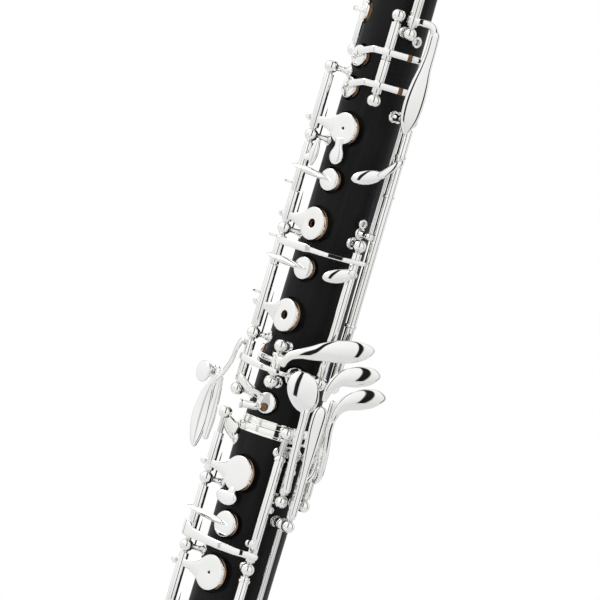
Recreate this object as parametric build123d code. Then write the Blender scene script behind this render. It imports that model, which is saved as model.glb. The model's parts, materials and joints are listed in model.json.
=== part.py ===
from build123d import *
import os
from math import cos, radians, sin

# Conservatoire-system oboe, millimetres.
# Origin: centre of the bell's rim plane. +Z runs up the bore towards the reed.
# The finger side faces -Y. Angles "phi" are measured round the bore from -Y towards +X,
# which is the side of the left little finger.

os.makedirs("parts", exist_ok=True)

# ---- body ----
BELL_LENGTH = 128.0
LOWER_LENGTH = 244.0
UPPER_LENGTH = 230.0
BELL_RIM_R = 29.0
LOWER_Z = BELL_LENGTH
UPPER_Z = LOWER_Z + LOWER_LENGTH
TOP_Z = UPPER_Z + UPPER_LENGTH
REED_WELL_R = 3.5
REED_WELL_DEPTH = 22.0
STAPLE_BORE_R = 2.3
BORE_R_JOINT = 4.05
BORE_R_BELL = 7.8
BELL_MOUTH_R = 22.5

TENON_LENGTH = 19.0
UPPER_TENON_R = 8.3
UPPER_SOCKET_R = 9.1
LOWER_TENON_R = 10.3
LOWER_SOCKET_R = 11.1
TENON_GAP = 0.15
FIT = 0.05

UPPER_R_BOTTOM = 11.8
UPPER_R_TOP = 10.2
LOWER_R_TOP = 13.0
LOWER_R_MID = 12.5
LOWER_R_BOTTOM = 14.4

# ---- keywork ----
ROD_R = 1.0
TUBE_R = 1.65
TUBE_BORE_R = ROD_R + FIT
BALL_R = 2.3
NECK_R = 1.2
FLANGE_R = 2.1
ARM_T = 1.5
ARM_W = 2.2
PAD_T = 1.5
PAD_PROUD = 0.8
CUP_T = 2.0
LEAF_T = 1.3
SEAT_DEPTH = 1.6
SEAT_MARGIN = 0.7
PAD_AIR = 0.06
SPRING_R = 0.28
SPRING_DROP = 2.75
SPRING_TURN = 6.0


def radial(phi):
    a = radians(phi)
    return Vector(sin(a), -cos(a), 0)


def tangent(phi):
    a = radians(phi)
    return Vector(cos(a), sin(a), 0)


def place(phi, r, z):
    return radial(phi) * r + Vector(0, 0, z)


def face_plane(phi, r, z):
    """Plane that looks outwards from the bore: x round it, y up it."""
    return Plane(origin=place(phi, r, z), x_dir=tangent(phi), z_dir=radial(phi))


def upper_radius(z):
    t = (z - UPPER_Z) / (510.0 - UPPER_Z)
    return UPPER_R_BOTTOM + (10.7 - UPPER_R_BOTTOM) * t


def lower_radius(z):
    if z > 318.0:
        t = (z - 318.0) / (UPPER_Z - 318.0)
        return LOWER_R_MID + (LOWER_R_TOP - LOWER_R_MID) * t
    t = (318.0 - z) / (318.0 - LOWER_Z)
    return LOWER_R_MID + (LOWER_R_BOTTOM - LOWER_R_MID) * t


def bell_radius(z):
    t = 1 - z / BELL_LENGTH
    return 16.0 + 1.0 * t + (BELL_RIM_R - 17.0) * t ** 3.2


def body_radius(z):
    if z > UPPER_Z:
        return upper_radius(z)
    if z > LOWER_Z:
        return lower_radius(z)
    return bell_radius(z)


def turned(points):
    """Solid of revolution about Z from (radius, z) points."""
    outline = Polyline(*[(r, 0, z) for r, z in points], close=True)
    return revolve(make_face(outline), Axis.Z, 360)


def pipe_part(origin, z0, z1, r_out, r_in):
    body = Cylinder(r_out, z1 - z0, align=(Align.CENTER, Align.CENTER, Align.MIN))
    hole = Cylinder(r_in, z1 - z0 + 2, align=(Align.CENTER, Align.CENTER, Align.MIN))
    ring = body - Pos(0, 0, -1) * hole
    return Pos(origin.X, origin.Y, z0) * ring


def disc(phi, r0, r1, z, radius):
    """Cylinder standing out from the bore between two distances from its axis."""
    drum = Cylinder(radius, r1 - r0, align=(Align.CENTER, Align.CENTER, Align.MIN))
    return face_plane(phi, r0, z) * drum


def bar(p, q, width, thick):
    """Round-ended flat bar between two points, its flat side facing out from the bore."""
    along = q - p
    middle = (p + q) * 0.5
    out = Vector(middle.X, middle.Y, 0)
    normal = out - along.normalized() * out.dot(along.normalized())
    plane = Plane(origin=middle, x_dir=along.normalized(), z_dir=normal.normalized())
    slot = SlotCenterToCenter(along.length, width)
    return plane * extrude(slot, thick / 2, both=True)


def strut(p, q, radius):
    """Round bar between two points."""
    along = q - p
    pin = Cylinder(radius, along.length, align=(Align.CENTER, Align.CENTER, Align.MIN))
    return Plane(origin=p, z_dir=along.normalized()) * pin


def route(points, width, thick):
    """Chain of flat bars through (phi, r, z) points."""
    chain = [place(*point) for point in points]
    whole = bar(chain[0], chain[1], width, thick)
    for p, q in zip(chain[1:], chain[2:]):
        whole = whole + bar(p, q, width, thick)
    return whole


def leaf(bend, view_phi, outline, thick=LEAF_T):
    """Bent plate: a strip that follows three (phi, r) points, cut to an outline.

    The outline's points are (distance round, height) on a plane that looks out at view_phi.
    """
    outer = [place(phi, r, 0) for phi, r in bend]
    inner = [place(phi, r - thick, 0) for phi, r in bend]
    edges = [
        ThreePointArc(*outer),
        Line(outer[2], inner[2]),
        ThreePointArc(*reversed(inner)),
        Line(inner[0], outer[0]),
    ]
    low = min(z for _, z in outline) - 2
    high = max(z for _, z in outline) + 2
    strip = Pos(0, 0, low) * extrude(make_face(edges), high - low, dir=(0, 0, 1))
    shape = make_face(Spline(*outline, periodic=True))
    prism = face_plane(view_phi, 2.0, 0) * extrude(shape, 60)
    return strip & prism


class Rod:
    """Hinge axis parallel to the bore, with the posts that carry it.

    A post is the height of its ball, or a pair: the heights of its ball and of its foot.
    """

    def __init__(self, phi, r, posts, pin_r=ROD_R, ball_r=BALL_R):
        self.phi = phi
        self.r = r
        self.posts = [post if isinstance(post, tuple) else (post, post) for post in posts]
        self.pin_r = pin_r
        self.ball_r = ball_r
        self.low = self.posts[0][0] - ball_r * 0.8
        self.high = self.posts[-1][0] + ball_r * 0.8
        self.origin = place(phi, r, 0)

    def axis(self):
        return Axis((self.origin.X, self.origin.Y, 0), (0, 0, 1))

    def tube(self, z0, z1):
        return pipe_part(self.origin, z0, z1, TUBE_R, TUBE_BORE_R)

    def pin(self, z0, z1, radius):
        drum = Cylinder(radius, z1 - z0, align=(Align.CENTER, Align.CENTER, Align.MIN))
        return Pos(self.origin.X, self.origin.Y, z0) * drum

    def bore_cut(self, z0, z1):
        return self.pin(z0 - 3, z1 + 3, TUBE_BORE_R)

    def steel(self):
        slot = Box(self.pin_r * 3, 0.35, 0.8)
        return self.pin(self.low, self.high, self.pin_r) - Pos(*self.top()) * slot

    def top(self):
        return self.origin + Vector(0, 0, self.high)

    def foot_solids(self, foot_z):
        """Threaded foot in the wood and the flange on it."""
        wood = body_radius(foot_z)
        foot = disc(self.phi, wood - 2.5, wood, foot_z, NECK_R)
        flange = disc(self.phi, wood - 0.5, wood + 0.9, foot_z, FLANGE_R)
        return foot + flange

    def post_solids(self):
        solids = []
        for ball_z, foot_z in self.posts:
            base = place(self.phi, body_radius(foot_z) - 0.5, foot_z)
            centre = place(self.phi, self.r, ball_z)
            neck = strut(base, centre, NECK_R)
            ball = Pos(*centre) * Sphere(self.ball_r)
            solids.append(self.foot_solids(foot_z) + neck + ball)
        return solids


# Hinge rods of the upper joint.
ROD_MAIN_UP = Rod(-35.0, 17.5, [381.6, 400.7, 436.7, 468.7, 492.1])
ROD_TRILL = Rod(37.0, 16.0, [485.5, 514.6])
ROD_OCTAVE = Rod(55.5, 16.0, [509.6, 546.0])
ROD_SIDE = Rod(92.0, 16.5, [391.0, 482.0])
ROD_INNER = Rod(69.5, 16.5, [391.0, 438.3])
ROD_SLIM = Rod(80.0, 16.3, [442.0, 482.0], pin_r=0.6, ball_r=1.45)
ROD_GSHARP = Rod(14.5, 17.0, [387.5, 399.7])
ROD_THUMB = Rod(-96.0, 15.5, [499.0, 519.0])
# Hinge rods of the lower joint.
TOP_FOOT_Z = 365.4
ROD_MAIN_LOW = Rod(-36.0, 19.0, [262.0, 300.1, 327.1, 350.4, (373.0, TOP_FOOT_Z)])
ROD_FRONT = Rod(48.5, 18.0, [230.0, 326.1, (372.6, TOP_FOOT_Z)])
ROD_ROUND = Rod(62.0, 18.4, [350.6, 366.4])
ROD_LOW_B = Rod(74.0, 16.6, [158.0, 250.0, 343.4])
ROD_LONG = Rod(74.0, 20.4, [343.4, 366.4])
ROD_LEAVES = Rod(96.0, 17.6, [350.6, 366.4])
ROD_FOOT = Rod(28.0, 19.2, [180.0, 245.0])
# Hinge rod of the bell.
ROD_BELL = Rod(55.0, 20.6, [84.0, 112.0])

UPPER_RODS = [ROD_MAIN_UP, ROD_TRILL, ROD_OCTAVE, ROD_SIDE, ROD_INNER, ROD_SLIM,
              ROD_GSHARP, ROD_THUMB]
LOWER_RODS = [ROD_MAIN_LOW, ROD_FRONT, ROD_ROUND, ROD_LOW_B, ROD_LONG, ROD_LEAVES, ROD_FOOT]
BELL_RODS = [ROD_BELL]


class Key:
    """A key: hinge tube, arms, pad cup and finger touch, all one piece of metal.

    It is drawn closed and then turned about its rod by open_angle, its rest position.
    """

    def __init__(self, name, rod, z0, z1, open_angle=0.0):
        self.name = name
        self.rod = rod
        self.z0 = z0
        self.z1 = z1
        self.open_angle = open_angle
        self.metal = [rod.tube(z0, z1)]
        self.cuts = [rod.bore_cut(z0, z1)]
        self.pads = []
        self.seats = []

    def cup(self, phi, z, radius, hole=0.0, tone=2.2, thick=CUP_T):
        seat = body_radius(z) - SEAT_DEPTH
        bottom = seat + PAD_AIR + PAD_PROUD
        shell = disc(phi, bottom, bottom + thick, z, radius)
        rim = shell.faces().sort_by(Axis(place(phi, 0, z), radial(phi)))[-1].edges()
        shell = fillet(rim, 0.7)
        well = disc(phi, bottom - 1, bottom + PAD_T - PAD_PROUD, z, radius - 0.5)
        pad = disc(phi, seat + PAD_AIR, seat + PAD_AIR + PAD_T, z, radius - 0.5)
        if hole:
            finger_hole = disc(phi, seat - 1, bottom + thick + 1, z, hole)
            self.cuts.append(finger_hole)
            pad = pad - finger_hole
        self.metal.append(shell - well)
        self.cuts.append(disc(phi, bottom - 2, bottom + PAD_T - PAD_PROUD, z, radius - 0.5))
        self.pads.append(pad)
        self.seats.append((phi, z, radius + SEAT_MARGIN, tone))
        return bottom + thick

    def arm(self, phi, z, r, from_z=None, width=ARM_W, thick=ARM_T):
        """Arm from the tube to a point at (phi, r, z)."""
        start = place(self.rod.phi, self.rod.r, z if from_z is None else from_z)
        self.metal.append(bar(start, place(phi, r, z), width, thick))

    def cup_arm(self, phi, z, top, from_z=None, width=ARM_W):
        self.arm(phi, z, top - 0.4, from_z, width)

    def tail(self, z, length=3.2, width=1.9):
        """Short spur on the far side of the tube, where the needle spring bears."""
        out = tangent(self.rod.phi) * (-length)
        start = place(self.rod.phi, self.rod.r, z)
        self.metal.append(bar(start, start + out, width, 1.2))

    def add(self, shape):
        self.metal.append(shape)

    def turn(self, shape):
        return shape.rotate(self.rod.axis(), self.open_angle)

    def solid(self):
        whole = self.metal[0]
        for piece in self.metal[1:]:
            whole = whole + piece
        for cut in self.cuts:
            whole = whole - cut
        return self.turn(whole)

    def pad_solids(self):
        return [self.turn(pad) for pad in self.pads]


def oval(half_width, z0, z1, tilt=0.0, n=4, centre=0.0):
    """Outline of an oval touch, as points on its plane."""
    middle = (z0 + z1) / 2
    half = (z1 - z0) / 2
    points = []
    for i in range(2 * n):
        a = radians(180.0 * i / n)
        x = half_width * cos(a)
        y = half * sin(a)
        t = radians(tilt)
        points.append((centre + x * cos(t) - y * sin(t), middle + x * sin(t) + y * cos(t)))
    return points


# ---- upper joint keys ----

def half_hole_key():
    key = Key("key_half_hole", ROD_MAIN_UP, 471.2, 489.6, -8.0)
    top = key.cup(5.0, 473.8, 5.4, hole=0.5)
    key.cup_arm(5.0, 474.3, top)
    lobe = face_plane(6.0, top - 0.6, 464.6) * extrude(Ellipse(2.6, 3.2), 1.2)
    key.add(lobe)
    key.add(bar(place(5.5, top - 0.1, 466.0), place(5.0, top - 0.4, 470.0), 3.0, 1.1))
    key.tail(474.3)
    return key


def upper_vent_key():
    key = Key("key_upper_vent", ROD_MAIN_UP, 449.6, 466.2, -6.0)
    top = key.cup(5.0, 456.4, 3.8, tone=1.5)
    key.cup_arm(5.0, 456.4, top, from_z=457.6, width=1.8)
    key.add(leaf([(-33.0, 18.4), (-28.0, 17.6), (-22.0, 16.6)], -27.0, oval(1.3, 458.6, 465.8)))
    key.arm(-27.0, 462.0, 16.9, width=3.0)
    key.tail(457.6)
    return key


def second_finger_key():
    key = Key("key_lh_second", ROD_MAIN_UP, 439.2, 449.4, -8.0)
    top = key.cup(-1.0, 441.0, 5.6, hole=1.5)
    key.cup_arm(-1.0, 441.3, top)
    key.tail(441.3)
    return key


def cross_lever_key():
    key = Key("key_cross_lever", ROD_MAIN_UP, 424.4, 434.2, -4.0)
    top = key.cup(5.0, 426.1, 3.8, tone=1.6)
    key.cup_arm(5.0, 426.1, top, from_z=426.9, width=1.8)
    key.arm(-9.0, 432.8, 17.0, width=2.0, thick=1.2)
    key.add(bar(place(-9.0, 17.0, 432.8), place(20.0, 16.6, 432.8), 2.6, 1.2))
    key.add(bar(place(20.0, 16.6, 432.8), place(56.0, 18.9, 432.8), 1.5, 1.2))
    key.add(route([(56.0, 18.9, 432.8), (68.0, 19.6, 432.8), (79.0, 19.6, 432.8)], 1.5, 1.2))
    key.tail(426.9)
    return key


def third_finger_key():
    key = Key("key_lh_third", ROD_MAIN_UP, 403.2, 424.2, -8.0)
    top = key.cup(-1.0, 409.6, 5.6, hole=1.5)
    key.cup_arm(-1.0, 411.3, top)
    key.tail(411.3)
    return key


def trill_key(name, z0, z1, arm_z, cup_z, cup_phi):
    key = Key(name, ROD_TRILL, z0, z1)
    top = key.cup(cup_phi, cup_z, 3.6, tone=1.4)
    elbow = place(14.0, 15.0, arm_z)
    key.add(bar(place(37.0, 16.0, arm_z), elbow, 2.0, ARM_T))
    key.add(bar(elbow, place(cup_phi, top - 0.5, cup_z), 1.9, ARM_T))
    key.add(bar(place(37.0, 16.0, arm_z), place(80.0, 16.4, arm_z), 2.2, 1.3))
    return key


def side_octave_key():
    key = Key("key_side_octave", ROD_OCTAVE, 512.2, 543.4)
    top = key.cup(12.0, 538.0, 3.8, tone=0.6)
    key.cup_arm(12.0, 538.0, top)
    key.arm(74.0, 514.0, 19.4)
    outline = [(-3.4, 514.6), (-3.6, 490.0), (-0.6, 477.6), (2.9, 488.0), (1.2, 512.0)]
    key.add(leaf([(62.0, 19.8), (80.0, 20.7), (98.0, 20.0)], 80.0, outline))
    return key


def thumb_octave_key():
    key = Key("key_thumb_octave", ROD_THUMB, 501.5, 516.5)
    top = key.cup(-44.0, 512.6, 3.6, tone=0.6)
    key.add(route([(-96.0, 15.5, 512.6), (-68.0, 14.4, 512.6), (-44.0, top - 0.5, 512.6)],
                  1.9, 1.3))
    key.add(route([(-96.0, 15.9, 504.0), (-122.0, 16.4, 504.0), (-140.0, 17.2, 503.0)], 2.6, 1.4))
    key.add(leaf([(-166.0, 17.2), (-150.0, 17.8), (-134.0, 17.2)], -150.0, oval(4.4, 489.0, 507.0)))
    return key


def trill_touch_key(name, rod, z0, z1, touch_z, arm_z, elbow_phi):
    key = Key(name, rod, z0, z1)
    bend = [(34.0, 18.6), (53.0, 19.8), (74.0, 19.8)]
    key.add(leaf(bend, 53.0, oval(4.8, touch_z - 2.3, touch_z + 2.3, tilt=22.0)))
    key.add(route([
        (rod.phi, rod.r + 0.6, arm_z),
        (elbow_phi, 19.6, arm_z - 1.6),
        (60.0, 19.2, touch_z + 1.5),
    ], 2.6, 1.3))
    return key


def side_trill_key():
    key = Key("key_side_trill", ROD_MAIN_UP, 384.2, 398.2)
    key.add(route([(-35.0, 18.2, 396.4), (-32.0, 21.6, 396.4), (-40.0, 22.6, 386.0)], 2.0, 1.2))
    outline = [(2.4, 388.4), (-0.8, 384.0), (-3.4, 368.0), (-0.8, 358.6), (1.7, 368.0),
               (2.2, 380.0)]
    key.add(leaf([(-62.0, 25.4), (-46.0, 24.6), (-34.0, 22.6)], -46.0, outline))
    key.add(route([(-35.0, 18.6, 392.4), (-30.0, 19.9, 392.4), (8.0, 20.4, 391.9),
                   (30.0, 18.6, 391.4)], 2.0, 1.1))
    top = key.cup(40.0, 390.8, 3.3, tone=1.4)
    key.add(bar(place(30.0, 18.6, 391.4), place(40.0, top - 0.5, 390.8), 2.0, 1.1))
    lower_top = key.cup(8.0, 380.0, 3.4, hole=1.6, tone=1.4)
    key.add(route([(-35.0, 18.6, 386.0), (-24.0, 18.2, 385.0), (-10.0, 15.6, 382.0),
                   (-4.0, lower_top - 0.5, 380.9)], 1.8, 1.1))
    key.add(route([(-46.0, 23.6, 384.8), (-56.0, 28.2, 384.8)], 3.2, 1.3))
    key.add(disc(-57.0, 27.4, 28.8, 383.6, 4.2))
    return key


def g_sharp_key():
    key = Key("key_g_sharp", ROD_GSHARP, 390.0, 397.2)
    outline = [(-20.4, 394.6), (-13.0, 400.6), (5.0, 406.4), (15.0, 408.8), (18.6, 407.0),
               (13.0, 402.2), (3.0, 398.6), (-9.0, 398.0), (-17.0, 394.2)]
    key.add(leaf([(2.0, 21.4), (54.0, 22.6), (110.0, 25.2)], 62.0, outline))
    key.add(route([(14.5, 18.0, 395.9), (20.0, 20.8, 396.4)], 2.4, 1.4))
    key.add(route([
        (14.5, 16.6, 394.4),
        (-2.0, 14.9, 394.4),
        (-19.0, 13.6, 394.4),
        (-36.0, 13.1, 394.4),
        (-54.0, 13.0, 394.4),
        (-64.0, 12.7, 394.4),
    ], 2.0, 1.0))
    key.cup(-68.0, 394.4, 4.2, tone=2.4)
    return key


# ---- lower joint keys ----

def first_right_key():
    key = Key("key_rh_first", ROD_MAIN_LOW, 353.0, 366.0, -7.0)
    top = key.cup(2.5, 355.2, 6.0)
    key.cup_arm(2.5, 355.6, top)
    lobe = face_plane(3.0, top - 0.7, 347.4) * extrude(Ellipse(3.6, 2.2), 1.2)
    key.add(lobe)
    key.add(bar(place(3.0, top - 0.2, 347.4), place(2.5, top - 0.5, 352.0), 3.0, 1.1))
    key.tail(355.6)
    return key


def fork_key():
    key = Key("key_fork", ROD_MAIN_LOW, 329.8, 347.8, -5.0)
    top = key.cup(4.0, 338.0, 4.4, tone=2.0)
    key.cup_arm(4.0, 338.0, top, from_z=339.6, width=1.8)
    key.arm(-14.0, 331.8, 19.2, width=3.6, thick=1.3)
    key.add(bar(place(-14.0, 19.2, 331.8), place(14.0, 18.9, 331.4), 2.6, 1.3))
    key.add(route([(14.0, 18.9, 331.4), (36.0, 20.7, 331.0), (57.0, 20.9, 331.0)], 1.8, 1.3))
    key.tail(339.6)
    return key


def second_right_key():
    key = Key("key_rh_second", ROD_MAIN_LOW, 302.6, 324.6, -7.0)
    top = key.cup(3.0, 321.2, 6.0, hole=0.5)
    key.cup_arm(3.0, 321.4, top)
    key.tail(321.4)
    return key


def third_right_key():
    key = Key("key_rh_third", ROD_MAIN_LOW, 264.5, 297.6, -7.0)
    top = key.cup(3.0, 289.0, 6.2, hole=1.2)
    key.cup_arm(3.0, 289.0, top)
    key.tail(289.0)
    return key


def front_link_key():
    """Long tube that the fork key's cross bar pushes, with a lug at each end."""
    key = Key("key_front_link", ROD_FRONT, 328.8, 365.0)
    key.arm(38.0, 334.6, 18.6, width=3.0)
    key.arm(58.0, 347.0, 17.4, width=3.0)
    return key


def round_touch_key():
    key = Key("key_touch_round", ROD_ROUND, 353.2, 363.9)
    key.add(disc(61.0, 19.4, 22.2, 361.0, 1.4))
    key.add(disc(61.0, 19.4, 22.2, 356.0, 1.4))
    key.add(route([(60.5, 21.8, 354.6), (58.0, 21.8, 366.0), (56.5, 21.8, 381.0),
                   (53.0, 21.6, 385.0)], 2.8, 1.4))
    key.add(leaf([(28.0, 20.8), (50.0, 22.4), (72.0, 21.8)], 50.0, oval(5.2, 383.4, 393.8)))
    return key


def long_touch_key():
    key = Key("key_touch_long", ROD_LONG, 346.0, 354.6)
    outline = [(-2.8, 383.4), (-2.7, 376.0), (-1.6, 364.0), (0.0, 351.0), (1.6, 364.0),
               (2.7, 376.0), (2.8, 383.0), (0.0, 384.8)]
    key.add(leaf([(58.0, 24.2), (69.0, 24.5), (80.0, 24.2)], 69.0, outline))
    key.add(disc(71.0, 21.6, 23.6, 353.0, 1.3))
    return key


def upper_leaf_key():
    key = Key("key_touch_upper_leaf", ROD_LONG, 354.8, 363.9)
    outline = [(-15.6, 388.2), (-9.6, 395.0), (0.0, 398.8), (9.0, 399.0), (4.0, 391.8),
               (-5.0, 388.8), (-11.0, 386.4)]
    key.add(leaf([(66.0, 23.0), (92.0, 25.4), (114.0, 28.4)], 92.0, outline))
    key.add(route([(75.0, 21.4, 359.4), (84.0, 20.6, 361.4), (84.0, 20.6, 381.0),
                   (79.0, 22.8, 389.8)], 1.8, 1.6))
    return key


def lower_leaf_key():
    key = Key("key_touch_lower_leaf", ROD_LEAVES, 353.2, 363.9)
    outline = [(-12.4, 379.6), (-5.0, 388.6), (5.0, 392.9), (13.0, 392.4), (8.0, 385.4),
               (-2.0, 381.4), (-9.2, 376.8)]
    key.add(leaf([(81.0, 24.8), (104.0, 28.0), (122.0, 31.8)], 106.0, outline))
    key.add(route([(96.0, 18.6, 359.0), (94.0, 21.6, 362.0), (92.0, 24.6, 379.6)], 2.8, 1.6))
    return key


def low_b_key():
    key = Key("key_low_b", ROD_LOW_B, 160.4, 247.6, 6.0)
    top = key.cup(32.0, 168.0, 6.6, tone=4.2)
    key.cup_arm(32.0, 168.0, top)
    return key


def low_c_key():
    key = Key("key_low_c", ROD_FOOT, 216.2, 242.6, 7.0)
    top = key.cup(-4.0, 222.0, 6.6, tone=3.8)
    key.cup_arm(-4.0, 222.0, top)
    key.add(leaf([(6.0, 22.0), (22.0, 23.6), (40.0, 23.0)], 22.0, oval(4.4, 230.0, 241.0)))
    key.add(disc(27.0, 19.6, 22.6, 237.0, 1.4))
    return key


def low_c_sharp_key():
    key = Key("key_low_c_sharp", ROD_FOOT, 182.5, 216.0)
    top = key.cup(-14.0, 196.0, 6.4, tone=3.6)
    key.cup_arm(-14.0, 196.0, top)
    return key


def low_e_flat_key():
    key = Key("key_low_e_flat", ROD_FRONT, 232.5, 323.6)
    top = key.cup(8.0, 260.0, 5.6, tone=3.0)
    key.cup_arm(8.0, 260.0, top)
    key.add(leaf([(40.0, 21.0), (60.0, 22.6), (80.0, 21.6)], 60.0, oval(5.0, 262.0, 274.0)))
    key.add(route([(48.5, 18.6, 268.0), (54.0, 21.6, 268.0)], 3.0, 1.4))
    return key


def bell_key():
    key = Key("key_bell", ROD_BELL, 86.5, 109.5, 6.0)
    top = key.cup(10.0, 96.0, 7.2, tone=4.5)
    key.cup_arm(10.0, 96.0, top, width=3.0)
    return key


def all_keys():
    keys = [half_hole_key(), upper_vent_key(), second_finger_key(), cross_lever_key(),
            third_finger_key(), side_octave_key(), thumb_octave_key(), side_trill_key(),
            g_sharp_key()]
    keys.append(trill_key("key_trill_upper", 499.4, 512.1, 502.0, 498.1, -14.0))
    keys.append(trill_key("key_trill_lower", 488.0, 499.2, 490.8, 487.2, -16.0))
    keys.append(trill_touch_key("key_touch_upper_trill", ROD_SIDE, 393.5, 479.4, 460.8, 468.4, 80.0))
    keys.append(trill_touch_key("key_touch_lower_trill", ROD_INNER, 393.5, 435.8, 427.1, 429.4, 68.0))
    keys += [first_right_key(), fork_key(), second_right_key(), third_right_key()]
    keys += [front_link_key(), round_touch_key(), long_touch_key(), upper_leaf_key(),
             lower_leaf_key()]
    keys += [low_b_key(), low_c_key(), low_c_sharp_key(), low_e_flat_key(), bell_key()]
    return keys


# ---- wooden body ----

def tone_hole_cuts(keys, z_low, z_high):
    cuts = []
    for key in keys:
        for phi, z, radius, tone in key.seats:
            if z_low < z < z_high:
                seat = body_radius(z) - SEAT_DEPTH
                cuts.append(disc(phi, seat, seat + 8.0, z, radius))
                cuts.append(disc(phi, 1.0, seat + 1.0, z, tone))
    return cuts


def post_cuts(rods):
    return [post for rod in rods for post in rod.post_solids()]


def carve(wood, cuts):
    for cut in cuts:
        wood = wood - cut
    return wood


def upper_joint(keys):
    tenon_z = UPPER_Z - TENON_LENGTH
    well_z = TOP_Z - REED_WELL_DEPTH
    outline = [
        (BORE_R_JOINT, tenon_z), (UPPER_TENON_R, tenon_z), (UPPER_TENON_R, UPPER_Z),
        (UPPER_R_BOTTOM - 1.0, UPPER_Z), (UPPER_R_BOTTOM - 1.0, UPPER_Z + 2.6),
        (UPPER_R_BOTTOM, UPPER_Z + 2.6), (10.7, 510.0), (UPPER_R_TOP, 560.0), (9.6, 574.0),
        (9.9, 580.0), (11.6, 586.0), (11.9, 590.0), (11.3, 594.0), (10.4, 598.0),
        (10.2, TOP_Z), (REED_WELL_R, TOP_Z), (REED_WELL_R, well_z), (STAPLE_BORE_R, well_z),
    ]
    return carve(turned(outline), tone_hole_cuts(keys, UPPER_Z, TOP_Z) + post_cuts(UPPER_RODS))


def lower_joint(keys):
    socket_z = UPPER_Z - TENON_LENGTH - TENON_GAP
    tenon_z = LOWER_Z - TENON_LENGTH
    outline = [
        (BORE_R_BELL, tenon_z), (LOWER_TENON_R, tenon_z), (LOWER_TENON_R, LOWER_Z),
        (LOWER_R_BOTTOM, LOWER_Z), (LOWER_R_MID, 318.0), (LOWER_R_TOP, UPPER_Z - 2.8),
        (LOWER_R_TOP - 1.0, UPPER_Z - 2.8), (LOWER_R_TOP - 1.0, UPPER_Z),
        (UPPER_SOCKET_R, UPPER_Z), (UPPER_SOCKET_R, socket_z), (BORE_R_JOINT + 0.05, socket_z),
    ]
    return carve(turned(outline), tone_hole_cuts(keys, LOWER_Z, UPPER_Z) + post_cuts(LOWER_RODS))


def bell_points(r_of_z, z_values):
    return [(r_of_z(z), z) for z in z_values]


def bell_bore_radius(z):
    t = 1 - z / (BELL_LENGTH - TENON_LENGTH)
    return BORE_R_BELL + 0.2 + (BELL_MOUTH_R - BORE_R_BELL - 0.2) * t ** 1.6


def bell(keys):
    socket_z = LOWER_Z - TENON_LENGTH - TENON_GAP
    steps = [6.0, 12.0, 20.0, 30.0, 42.0, 58.0, 78.0, 100.0]
    outer = [(BELL_RIM_R - 1.0, 3.0)] + bell_points(bell_radius, steps)
    inner = bell_points(bell_bore_radius, [0.0, 10.0, 22.0, 36.0, 54.0, 76.0, socket_z])
    outline = [(BELL_RIM_R - 1.0, 0.0)] + outer
    outline += [(16.0, LOWER_Z - 6.0), (15.0, LOWER_Z - 6.0), (15.0, LOWER_Z)]
    outline += [(LOWER_SOCKET_R, LOWER_Z), (LOWER_SOCKET_R, socket_z)]
    outline += list(reversed(inner))
    return carve(turned(outline), tone_hole_cuts(keys, 0, LOWER_Z) + post_cuts(BELL_RODS))


def ring(r_in, r_out, z0, z1):
    band = pipe_part(Vector(0, 0, 0), z0, z1, r_out, r_in)
    rims = band.edges().filter_by(GeomType.CIRCLE).sort_by(SortBy.RADIUS)[-2:]
    return fillet(rims, 0.35)


def thumb_rest():
    wood = body_radius(300.0)
    plate = leaf([(166.0, wood + 1.3), (180.0, wood + 1.45), (194.0, wood + 1.3)], 180.0,
                 oval(5.0, 285.0, 312.0), 1.2)
    hook = face_plane(180.0, wood + 0.6, 296.0) * extrude(SlotCenterToCenter(6.0, 3.0), 13.0)
    return plate + hook


def tenon_cork(tenon_r, socket_r, z0):
    return pipe_part(Vector(0, 0, 0), z0 + 3.0, z0 + TENON_LENGTH - 4.0, socket_r - 0.02,
                     tenon_r + 0.02)


def needle_springs(rods):
    springs = []
    for rod in rods:
        for (low, _), (high, _) in zip(rod.posts, rod.posts[1:]):
            reach = min(16.0, (high - low) * 0.4)
            pin = Cylinder(SPRING_R, reach, align=(Align.CENTER, Align.CENTER, Align.MIN))
            clear_r = body_radius(low) + 0.5
            crowded = clear_r > rod.r - SPRING_DROP
            r = max(rod.r - SPRING_DROP, clear_r)
            foot = place(rod.phi + (SPRING_TURN if crowded else 0.0), r, low + NECK_R * 0.5)
            springs.append(Pos(*foot) * pin)
    return springs


def posts_of(rods):
    """Posts, drilled for every rod that passes through them."""
    drills = [rod.pin(rod.low - 5, rod.high + 5, rod.pin_r + 0.02) for rod in rods]
    posts = []
    for rod in rods:
        for post in rod.post_solids():
            for drill in drills:
                post = post - drill
            posts.append(post)
    return posts


def joined(groups):
    """Merge posts that share a foot."""
    whole = groups[0]
    for group in groups[1:]:
        whole = whole + group
    return [whole]


def write(name, solids):
    shapes = []
    for shape in solids:
        shapes += shape.solids()
    whole = shapes[0] if len(shapes) == 1 else Compound(children=shapes)
    whole.label = name
    export_step(whole, f"parts/{name}.step")


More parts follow.
